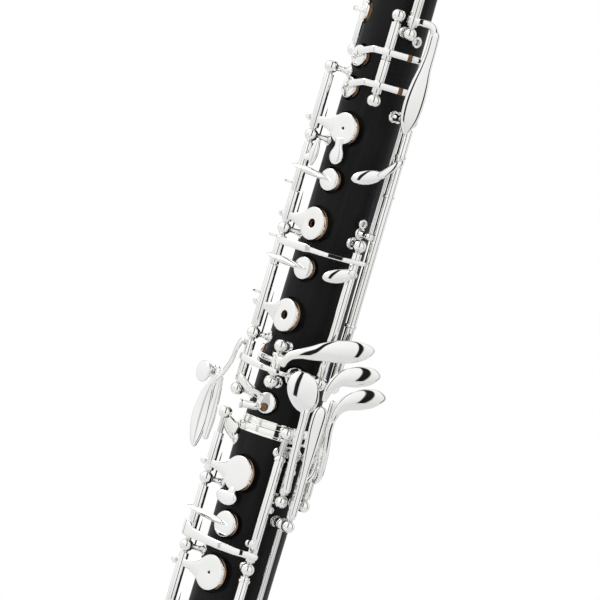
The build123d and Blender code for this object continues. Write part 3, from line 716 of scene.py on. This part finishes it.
def side_trill_key():
    """Right hand's side key: a stem and spatula, a cross bar, two cups, a screw and a disc."""
    key = Key("side_trill", 384.2, 398.2)
    key.route([(-35.0, 18.8, 396.2, 1.1), (-32.0, 20.8, 397.6, 1.2), (-34.5, 21.6, 394.5, 1.2),
               (-36.0, 21.9, 390.5, 1.2), (-40.0, 22.8, 386.5, 1.2), (-46.0, 24.3, 382.4, 1.4)],
              thick=1.3)
    # The spatula's two leaves.
    look = radial(4.0)
    key.touch([(-45.0, 23.9, 384.4, 0.9), (-49.5, 25.2, 380.4, 1.5), (-52.0, 25.9, 375.0, 2.7),
               (-52.5, 26.0, 368.0, 3.2), (-51.0, 25.6, 362.0, 2.2), (-49.5, 25.2, 358.6, 0.6)],
              crown=0.16, facing=look)
    key.touch([(-43.0, 23.2, 384.0, 0.8), (-44.0, 22.8, 378.0, 1.3), (-45.0, 22.6, 370.0, 1.7),
               (-45.0, 22.6, 362.0, 1.1)], thick=1.0, facing=look)
    # Cross bar to the upper cup.
    key.route([(-37.0, 19.6, 392.6, 1.15), (-28.0, 20.0, 392.5, 1.25), (-10.0, 20.3, 392.1, 1.2),
               (8.0, 20.4, 391.6, 0.95), (24.0, 19.4, 391.3, 0.8), (34.0, 17.0, 391.1, 0.7)],
              thick=1.1, square=4.0)
    top = key.cup(40.0, 390.8, 3.3)
    key.route([(33.0, 17.6, 391.3, 0.9), (37.0, 15.6, 391.0, 0.9), (40.0, top + 0.1, 390.8, 0.9)],
              thick=1.1)
    # Lower cup with its arm, adjusting screw and cork.
    low_top = key.cup(8.0, 380.0, 3.6)
    key.route([(-37.0, 18.8, 386.2, 1.3), (-26.0, 18.5, 385.4, 1.4), (-12.0, 16.6, 383.0, 1.4),
               (-4.0, low_top + 0.4, 381.6, 1.3), (4.0, low_top - 0.1, 380.9, 0.9)], thick=1.2)
    head, heel = place(-13.5, 17.4, 377.6), place(2.5, low_top + 1.2, 378.2)
    strut(key.metal, head, heel, 1.3)
    strut(key.metal, head + (head - heel).normalized() * 1.1, head, 1.55)
    strut(key.metal, place(2.0, low_top + 1.4, 378.3), place(3.0, low_top - 0.3, 378.6), 1.0)
    key.cork(7.6, low_top - 0.1, 378.5, 1.45, 1.0)
    # Flat disc on a ribbed barrel beside the spatula.
    disc_phi = -15.0
    axis = radial(disc_phi)
    face = place(-57.0, 28.8, 383.4)
    key.route([(-44.0, 23.8, 384.2, 1.3), (-50.0, 24.9, 384.4, 1.6), (-57.0, 26.0, 384.0, 1.4),
               (-60.5, 26.4, 383.6, 1.1)], thick=1.3)
    barrel = face + Vector((0, 0, 0.9))
    strut(key.metal, barrel - axis * 5.2, barrel - axis * 0.1, 1.9)
    for behind in (4.8, 3.1, 1.4):
        strut(key.metal, barrel - axis * behind, barrel - axis * (behind - 1.1), 2.4)
    m = outward(disc_phi, 0.0, 0.0)
    m.translation = face
    lathe(key.metal, m, softened([(TINY, 0), (3.5, 0), (3.7, 0.25), (3.7, 0.8), (3.2, 1.15),
                                  (TINY, 1.35)], 0.25, 3), 48)
    key.finish()


def g_sharp_key():
    """G sharp: the highest little finger touch, and an arm over to a cup on the far side."""
    key = Key("g_sharp", 390.0, 397.2, stops=(391.0, 396.6))
    key.touch([(25.2, 20.6, 393.5, 1.0), (25.6, 20.8, 395.2, 1.15), (29.5, 21.0, 397.6, 1.35),
               (37.4, 21.3, 399.3, 1.65), (48.0, 21.6, 400.7, 2.4), (58.3, 22.2, 402.3, 3.2),
               (69.6, 22.9, 403.5, 3.8), (83.6, 23.8, 404.6, 3.7), (96.6, 24.6, 405.6, 2.5),
               (104.0, 25.1, 406.4, 0.8)], thick=1.2, crown=0.15, ends=(0.7, 1.3))
    key.route([(14.5, 18.0, 395.4, 1.3), (19.0, 19.4, 395.2, 1.3), (25.4, 20.6, 395.2, 1.2)],
              thick=1.3)
    key.route([(14.5, 16.6, 394.4, 0.9), (-2.0, 14.9, 394.4, 0.95), (-19.0, 13.7, 394.4, 0.95),
               (-36.0, 13.1, 394.4, 0.95), (-54.0, 13.0, 394.4, 0.9), (-64.0, 12.8, 394.4, 0.8)],
              thick=1.0)
    key.cup(-68.0, 394.4, 4.2)
    key.finish()


def first_right_key():
    key = Key("rh_first", 353.0, 366.0, -7.0)
    top = key.cup(2.5, 355.2, 6.0, dome=0.08)
    key.fan_arm(2.5, 355.2, top, 355.6, plate_r=6.0)
    key.touch([(-21.0, top + 1.2, 347.1, 1.2), (-12.0, top + 0.35, 346.5, 2.1),
               (2.0, top + 0.05, 346.5, 2.3), (14.5, top + 0.25, 347.3, 1.4)],
              thick=1.1, crown=0.02)
    key.route([(2.5, top - 0.1, 350.4, 1.6), (2.5, top, 347.0, 1.6)], thick=1.0)
    key.finish()


def fork_key():
    """Small vent between the first two right hand plates, and its cross bar."""
    key = Key("fork", 329.8, 347.8, -5.0)
    top = key.cup(4.0, 338.0, 4.4)
    key.vane(4.0, 338.0, top, 339.6, plate_r=4.4)
    key.route(facets([(-51.0, 20.9, 333.6, 1.9), (-44.0, 21.2, 333.1, 3.1),
                      (-33.0, 21.1, 332.6, 2.4), (-20.0, 20.3, 332.0, 1.75),
                      (-2.0, 19.4, 331.7, 1.45), (18.0, 19.6, 331.3, 1.3),
                      (38.0, 20.9, 331.1, 1.2), (57.0, 20.9, 331.1, 1.0)], 0.12),
              thick=1.25, square=4.0)
    key.finish()


def second_right_key():
    key = Key("rh_second", 302.6, 324.6, -7.0)
    top = key.cup(3.0, 321.2, 6.0, hole=0.5, dome=0.05)
    key.fan_arm(3.0, 321.2, top, 321.4, plate_r=6.0)
    key.finish()


def third_right_key():
    key = Key("rh_third", 264.5, 297.6, -7.0)
    top = key.cup(3.0, 289.0, 6.2, hole=1.2, dome=0.05)
    key.fan_arm(3.0, 289.0, top, 289.0, plate_r=6.2)
    key.finish()


def front_link_key():
    """Tube under the end of the fork's bar, with two lugs."""
    key = Key("front_link", 328.8, 365.0, stops=(330.2, 363.8))
    key.route([(48.5, 18.8, 334.6, 1.4), (38.0, 18.9, 334.6, 1.2)], thick=1.4)
    key.route([(48.5, 18.6, 347.0, 1.4), (58.0, 17.6, 347.0, 1.2)], thick=1.4)
    key.finish()


def round_touch_key():
    key = Key("touch_round", 353.2, 363.9)
    key.peg(61.0, 19.4, 21.8, 361.0, 1.3)
    key.peg(61.0, 19.4, 21.8, 356.0, 1.3)
    key.route([(60.5, 21.8, 353.8, 1.4), (58.6, 21.8, 362.0, 1.4), (57.2, 21.8, 372.0, 1.4),
               (56.8, 21.8, 379.0, 1.45), (56.0, 21.8, 383.0, 1.8)], thick=1.4, crown=0.25,
              square=2.2)
    key.touch([(60.5, 21.5, 381.6, 1.6), (56.5, 21.8, 383.8, 4.0), (50.0, 22.1, 387.6, 5.2),
               (44.5, 22.1, 391.2, 4.4), (41.0, 21.8, 394.0, 1.6)], crown=0.14, thick=1.2,
              ends=(0.3, 1.0))
    key.finish()


def long_touch_key():
    key = Key("touch_long", 346.0, 354.6)
    key.touch([(70.5, 23.4, 346.4, 1.3), (70.0, 23.6, 354.0, 1.35), (69.4, 23.6, 362.0, 1.5),
               (68.6, 23.7, 370.0, 2.2), (68.0, 23.7, 377.0, 2.75), (68.0, 23.7, 382.0, 2.75),
               (68.0, 23.6, 384.8, 1.8)], crown=0.18, thick=1.2)
    key.peg(71.0, 21.4, 23.6, 353.0, 1.3)
    key.finish()


def upper_leaf_key():
    key = Key("touch_upper_leaf", 354.8, 363.9)
    key.route([(75.0, 21.6, 359.4, 1.0), (81.0, 21.2, 360.8, 1.0), (84.0, 20.7, 364.0, 1.0),
               (84.0, 20.6, 372.0, 1.0), (83.5, 20.9, 381.0, 1.0), (80.5, 22.2, 387.4, 1.4)],
              thick=1.5)
    key.touch([(69.5, 22.4, 386.2, 0.8), (70.2, 23.2, 391.0, 1.7), (78.0, 24.0, 395.2, 2.8),
               (91.0, 25.2, 396.9, 3.6), (104.0, 27.0, 398.0, 2.9), (112.5, 28.2, 398.6, 0.8)],
              crown=0.18, thick=1.2, ends=(0.8, 1.2))
    key.finish()


def lower_leaf_key():
    key = Key("touch_lower_leaf", 353.2, 363.9)
    key.route([(96.0, 19.4, 359.0, 1.4), (92.0, 21.6, 362.0, 1.4), (85.0, 23.4, 370.0, 1.3),
               (79.5, 24.2, 378.0, 1.4), (79.4, 24.4, 381.5, 1.5)], thick=1.4)
    key.touch([(78.8, 24.3, 380.0, 1.2), (80.5, 24.9, 384.6, 2.0), (86.6, 25.9, 388.0, 2.9),
               (96.7, 27.4, 390.0, 3.6), (108.6, 29.7, 391.4, 3.0), (117.8, 31.4, 392.0, 0.9)],
              crown=0.18, thick=1.2, ends=(0.8, 1.2))
    key.finish()


def low_b_key():
    key = Key("low_b", 160.4, 247.6, 6.0, stops=(162.0, 246.0))
    top = key.cup(32.0, 168.0, 6.6, dome=0.5)
    key.fan_arm(32.0, 168.0, top, 168.0, plate_r=6.6, wide=0.6)
    key.finish()


def low_c_key():
    key = Key("low_c", 216.2, 242.6, 7.0, stops=(217.6,))
    top = key.cup(-4.0, 222.0, 6.6, dome=0.5)
    key.fan_arm(-4.0, 222.0, top, 222.0, plate_r=6.6, wide=0.6)
    key.touch([(22.0, 22.4, 230.2, 1.8), (22.0, 22.6, 234.0, 4.0), (22.0, 22.6, 238.0, 4.1),
               (22.0, 22.4, 240.8, 2.0)], crown=0.08)
    key.peg(27.0, 19.6, 22.2, 237.0, 1.4)
    key.finish()


def low_c_sharp_key():
    key = Key("low_c_sharp", 182.5, 216.0, stops=(184.0,))
    top = key.cup(-14.0, 196.0, 6.4, dome=0.5)
    key.fan_arm(-14.0, 196.0, top, 196.0, plate_r=6.4, wide=0.6)
    key.finish()


def low_e_flat_key():
    key = Key("low_e_flat", 232.5, 323.6, stops=(234.0, 322.2))
    top = key.cup(8.0, 260.0, 5.6, dome=0.4)
    key.fan_arm(8.0, 260.0, top, 260.0, plate_r=5.6, wide=0.6)
    key.route([(48.5, 18.8, 268.0, 1.5), (55.0, 21.0, 268.0, 1.6)], thick=1.4)
    key.touch([(60.0, 21.6, 262.2, 1.8), (60.0, 21.8, 266.0, 4.5), (60.0, 21.8, 271.0, 4.6),
               (60.0, 21.6, 273.8, 2.0)], crown=0.08)
    key.finish()


def bell_key():
    key = Key("bell", 86.5, 109.5, 6.0, stops=(88.0, 108.0))
    top = key.cup(10.0, 96.0, 7.2, dome=0.5)
    key.fan_arm(10.0, 96.0, top, 96.0, plate_r=7.2, wide=0.6)
    key.finish()


# ---------------------------------------------------------------- fixed metalwork

TOP_FOOT_Z = 365.4       # feet of the posts that lean up to the joint between the sections
LEAF_ROD = (74.0, 20.4)  # phi and r of the short rod that has no needles


def plain(*heights):
    """Posts that stand straight out of the wood: the ball is as high as the foot."""
    return [(z, z) for z in heights]


# Each rod: phi, r, its posts as (ball height, foot height), ball radius.
UPPER_RODS = [
    (-35.0, 17.5, plain(381.6, 400.7, 436.7, 468.7, 492.1), BALL_R),
    (37.0, 16.0, plain(485.5, 514.6), BALL_R),
    (55.5, 16.0, plain(509.6, 546.0), BALL_R),
    (92.0, 16.5, plain(391.0, 482.0), BALL_R),
    (69.5, 16.5, plain(391.0, 438.3), BALL_R),
    (80.0, 16.3, plain(442.0, 482.0), 1.45),
    (14.5, 17.0, plain(387.5, 399.7), BALL_R),
    (-96.0, 15.5, plain(499.0, 519.0), BALL_R),
]
LOWER_RODS = [
    (-36.0, 19.0, plain(262.0, 300.1, 327.1, 350.4) + [(373.0, TOP_FOOT_Z)], BALL_R),
    (48.5, 18.0, plain(230.0, 326.1) + [(372.6, TOP_FOOT_Z)], BALL_R),
    (62.0, 18.4, plain(350.6, 366.4), BALL_R),
    (74.0, 16.6, plain(158.0, 250.0, 343.4), BALL_R),
    (*LEAF_ROD, plain(343.4, 366.4), BALL_R),
    (96.0, 17.6, plain(350.6, 366.4), BALL_R),
    (28.0, 19.2, plain(180.0, 245.0), BALL_R),
]
BELL_RODS = [(55.0, 20.6, plain(84.0, 112.0), BALL_R)]


BALL_ROWS = 22
BALL_CUT = 30.0          # degrees from the pole where the ball's flat end begins
BALL_FLAT = 0.86         # half height of the ball over its radius


def post(shape, phi, r, ball_z, foot_z, ball_r):
    """Ball post: flange on the wood, waisted neck, and a ball flattened where tubes meet it."""
    wood = body_radius(foot_z)
    base = outward(phi, wood - 0.3, foot_z)
    flange = [(TINY, 0.0), (2.1, 0.0), (2.1, 0.7), (1.75, 1.15), (1.3, 1.5), (TINY, 1.6)]
    lathe(shape, base, softened(flange, 0.2, 2), 32)
    foot = place(phi, wood + 0.8, foot_z)
    centre = place(phi, r, ball_z)
    along = (centre - foot)
    m = along.to_track_quat("Z", "Y").to_matrix().to_4x4()
    m.translation = foot
    reach = along.length
    neck = [(TINY, 0), (1.45, 0.0), (1.0, reach * 0.35), (0.95, reach * 0.5), (1.2, reach * 0.8),
            (TINY, reach)]
    lathe(shape, m, softened(neck, 0.5, 4), 24)
    profile = []
    for i in range(BALL_ROWS + 1):
        a = radians(BALL_CUT + (180 - 2 * BALL_CUT) * i / BALL_ROWS)
        profile.append((ball_r * sin(a), -ball_r * BALL_FLAT * cos(a) / cos(radians(BALL_CUT))))
    profile = [(TINY, profile[0][1])] + profile + [(TINY, profile[-1][1])]
    lathe(shape, upright(centre), profile, 36)


def web(shape, phi, r, ball_z, foot_z):
    """Curved saddle that holds a leaning post's ball."""
    wood = body_radius(foot_z)
    middle = foot_z + 3.6
    blade(shape, [(phi, r - 0.6, ball_z - 1.2, 1.2), (phi, (r + wood) / 2, middle, 2.5),
                  (phi, wood + 0.1, middle - 1.4, 3.2)],
          thick=2.3, ends=(0.5, 0.2), facing=tangent(phi))


def posts():
    for name, rods in (("upper", UPPER_RODS), ("lower", LOWER_RODS), ("bell", BELL_RODS)):
        shape = Shape()
        for phi, r, heights, ball_r in rods:
            for ball_z, foot_z in heights:
                post(shape, phi, r, ball_z, foot_z, ball_r)
                if ball_z > foot_z:
                    web(shape, phi, r, ball_z, foot_z)
        shape.make("shown_posts_" + name, "body", SILVER_POST, "silver_post", ["posts_" + name])


NEEDLE_LENGTH = 16.0


def needle_springs():
    """Tapered blued needles beside the tubes, set in the posts."""
    shape = Shape()
    for phi, r, heights, _ in UPPER_RODS + LOWER_RODS + BELL_RODS:
        if (phi, r) == LEAF_ROD:
            continue
        for (low, _), (high, _) in zip(heights, heights[1:]):
            clear = body_radius(low) + 0.5
            beneath = r - 2.75
            aside = 6.0 if clear > beneath else 0.0
            at = place(phi + aside, max(beneath, clear), low + 0.6)
            reach = min(NEEDLE_LENGTH, (high - low) * 0.4)
            profile = [(0.01, 0), (0.27, 0.1), (0.27, reach * 0.3), (0.16, reach * 0.8),
                       (0.05, reach - 0.2), (0.01, reach)]
            lathe(shape, upright(at), profile, 12)
    shape.make("shown_needle_springs", "body", BLUED, "blued_steel", ["needle_springs"])


def band(name, r_in, r_out, z0, z1, groove):
    """Turned ring with a rounded rim and fine grooves."""
    shape = Shape()
    height = z1 - z0
    profile = [(r_in, 0), (r_out, 0)]
    for at in groove:
        h = height * at
        profile += [(r_out, h - 0.22), (r_out - 0.16, h - 0.08), (r_out - 0.16, h + 0.08),
                    (r_out, h + 0.22)]
    profile += [(r_out, height), (r_in, height)]
    lathe(shape, upright(Vector((0, 0, z0))), softened(profile, 0.2, 2, True), 128, closed=True)
    shape.make("shown_" + name, "body", SILVER_RING, "silver_ring", [name])


def rings():
    band("ring_upper_joint", 10.8, 12.4, UPPER_Z, UPPER_Z + 2.6, (0.75,))
    band("ring_lower_joint", 12.0, 13.5, UPPER_Z - 2.8, UPPER_Z - 0.05, (0.25,))
    band("ring_bell_socket", 15.0, 16.5, LOWER_Z - 6.0, LOWER_Z, (0.2, 0.8))


def screws():
    """Eye screws that stand on the wood beside the rods."""
    shape = Shape()
    for phi, z, radius in ((74.0, 507.6, 1.9), (72.0, 445.4, 1.6)):
        wood = body_radius(z)
        m = outward(phi, wood + 1.9, z)
        profile = [(radius * 0.5, 0), (radius, 0), (radius, 1.0), (radius - 0.25, 1.3),
                   (radius * 0.5, 1.3)]
        lathe(shape, m, softened(profile, 0.25, 3, True), 32, closed=True)
        strut(shape, place(phi, wood - 0.3, z), place(phi, wood + 2.1, z), radius * 0.45)
    shape.make("adjusting_screws", "body", SILVER_POST, "silver_post")


# ---------------------------------------------------------------- studio

CAMERA_AZIMUTH = 38.0
CAMERA_ELEVATION = 3.5
CAMERA_ROLL = 16.34
VIEW_HEIGHT_Z = 415.0
VIEW_OFFSET = -5.1
VIEW_WIDTH = 198.0
CAMERA_DISTANCE = 2.4    # metres
SENSOR_WIDTH = 36.0


def camera():
    azimuth = radians(CAMERA_AZIMUTH)
    elevation = radians(CAMERA_ELEVATION)
    roll = radians(CAMERA_ROLL)
    back = Vector((sin(azimuth) * cos(elevation), -cos(azimuth) * cos(elevation), sin(elevation)))
    right = Vector((cos(azimuth), sin(azimuth), 0))
    up = back.cross(right)
    image_right = right * cos(roll) + up * sin(roll)
    image_up = up * cos(roll) - right * sin(roll)
    target = Vector((0, 0, VIEW_HEIGHT_Z * MM)) + right * (VIEW_OFFSET * MM)
    data = bpy.data.cameras.new("camera")
    data.sensor_width = SENSOR_WIDTH
    data.lens = SENSOR_WIDTH * CAMERA_DISTANCE / (VIEW_WIDTH * MM)
    data.clip_start = 0.1
    data.clip_end = 50.0
    eye = bpy.data.objects.new("camera", data)
    axes = Matrix((image_right, image_up, back)).transposed()
    eye.matrix_world = Matrix.Translation(target + back * CAMERA_DISTANCE) @ axes.to_4x4()
    bpy.context.scene.collection.objects.link(eye)
    bpy.context.scene.camera = eye


# Dark upright gaps in the white studio: turn from the camera's azimuth, where the gap's
# edge begins and ends as sines of the angle from its middle, and how dark it is.
STUDIO_GAPS = (
    (0.0, 0.10, 0.16, 1.0),
    (84.0, 0.08, 0.15, 1.0),
    (132.0, 0.04, 0.12, 0.8),
    (-60.0, 0.05, 0.11, 0.4),
    (-138.0, 0.04, 0.12, 0.8),
)
GAP_DARKNESS = 0.985


def world():
    """White studio with narrow dark gaps, for crisp reflections in the silver."""
    scene = bpy.context.scene
    scene.world = bpy.data.worlds.new("studio")
    scene.world.use_nodes = True
    tree = scene.world.node_tree
    nodes, links = tree.nodes, tree.links
    background = nodes["Background"]
    coords = nodes.new("ShaderNodeTexCoord")
    azimuth = radians(CAMERA_AZIMUTH)

    def dot(vector):
        node = nodes.new("ShaderNodeVectorMath")
        node.operation = "DOT_PRODUCT"
        node.inputs[1].default_value = vector
        links.new(coords.outputs["Generated"], node.inputs[0])
        return node.outputs["Value"]

    def math(operation, a, b=0.0):
        node = nodes.new("ShaderNodeMath")
        node.operation = operation
        for socket, value in zip(node.inputs, (a, b)):
            if isinstance(value, float):
                socket.default_value = value
            else:
                links.new(value, socket)
        return node.outputs[0]

    def smooth(value, low, high, to_low, to_high):
        node = nodes.new("ShaderNodeMapRange")
        node.interpolation_type = "SMOOTHSTEP"
        for key, number in (("From Min", low), ("From Max", high), ("To Min", to_low),
                            ("To Max", to_high)):
            node.inputs[key].default_value = number
        links.new(value, node.inputs["Value"])
        return node.outputs["Result"]

    def gap(turn, low, high):
        """Dark upright slot at an azimuth from the camera's."""
        a = azimuth + radians(turn)
        sideways = math("ABSOLUTE", dot((cos(a), sin(a), 0)))
        ahead = smooth(dot((sin(a), -cos(a), 0)), 0.05, 0.2, 0.0, 1.0)
        return math("MULTIPLY", smooth(sideways, low, high, 1.0, 0.0), ahead)

    dark = 0.0
    for turn, low, high, depth in STUDIO_GAPS:
        dark = math("MAXIMUM", dark, math("MULTIPLY", gap(turn, low, high), depth))
    sky = smooth(dot((0, 0, 1)), -0.9, 0.5, 0.70, 1.08)
    side = smooth(dot((cos(azimuth), sin(azimuth), 0)), -0.9, 0.9, 1.0, 0.93)
    sky = math("MULTIPLY", sky, side)
    shade = math("MULTIPLY", dark, GAP_DARKNESS)
    light = math("MULTIPLY", sky, math("SUBTRACT", 1.0, shade))
    ray = nodes.new("ShaderNodeLightPath")
    mix = nodes.new("ShaderNodeMix")
    mix.data_type = "FLOAT"
    links.new(ray.outputs["Is Camera Ray"], mix.inputs["Factor"])
    links.new(light, mix.inputs["A"])
    mix.inputs["B"].default_value = 1.0
    links.new(mix.outputs["Result"], background.inputs["Strength"])
    background.inputs["Color"].default_value = (1.0, 1.0, 1.0, 1)
    scene.view_settings.view_transform = "Standard"


FLOOR_RADIUS = 1200.0
FLOOR_SIDES = 96
FLOOR_DROP = 0.0002      # metres below the part's lowest point


def floor():
    turns = [2 * pi * i / FLOOR_SIDES for i in range(FLOOR_SIDES)]
    ring = [Vector((FLOOR_RADIUS * cos(a), FLOOR_RADIUS * sin(a), 0)) for a in turns]
    mesh = bpy.data.meshes.new("floor")
    mesh.from_pydata([v * MM for v in ring], [], [tuple(range(FLOOR_SIDES))])
    m = Nodes("floor_paper")
    m.link(m.ramp(m.noise(3.0), [(0.3, (0.86, 0.86, 0.86)), (0.7, (0.88, 0.88, 0.88))]),
           m.shader.inputs["Base Color"])
    m.set(Roughness=0.9)
    mesh.materials.append(m.material)
    piece = bpy.data.objects.new("floor", mesh)
    piece.location.z = -FLOOR_DROP
    bpy.context.scene.collection.objects.link(piece)


LAMP_AT = Vector((-1.4, -1.2, 1.9))      # metres
LAMP_TARGET = Vector((0, 0, 0.35))
LAMP_WATTS = 12.0
LAMP_SIZE = 1.2


def lamp():
    data = bpy.data.lights.new("soft_box", "AREA")
    data.energy = LAMP_WATTS
    data.size = LAMP_SIZE
    light = bpy.data.objects.new("soft_box", data)
    light.location = LAMP_AT
    aim = LAMP_TARGET - LAMP_AT
    light.rotation_mode = "QUATERNION"
    light.rotation_quaternion = aim.to_track_quat("-Z", "Y")
    bpy.context.scene.collection.objects.link(light)


def build():
    half_hole_key()
    upper_vent_key()
    second_finger_key()
    cross_lever_key()
    third_finger_key()
    trill_key("trill_upper", 499.4, 512.1, 502.0, 498.1, -14.0)
    trill_key("trill_lower", 488.0, 499.2, 490.8, 487.2, -16.0)
    side_octave_key()
    thumb_octave_key()
    trill_touch_key("touch_upper_trill", 393.5, 479.4, 460.8, 468.4, 80.0, (470.0, 456.4, 412.0))
    trill_touch_key("touch_lower_trill", 393.5, 435.8, 427.1, 429.6, 68.0)
    side_trill_key()
    g_sharp_key()
    first_right_key()
    fork_key()
    second_right_key()
    third_right_key()
    front_link_key()
    round_touch_key()
    long_touch_key()
    upper_leaf_key()
    lower_leaf_key()
    low_b_key()
    low_c_key()
    low_c_sharp_key()
    low_e_flat_key()
    bell_key()
    posts()
    needle_springs()
    rings()
    screws()
    world()
    floor()
    lamp()
    camera()


build()
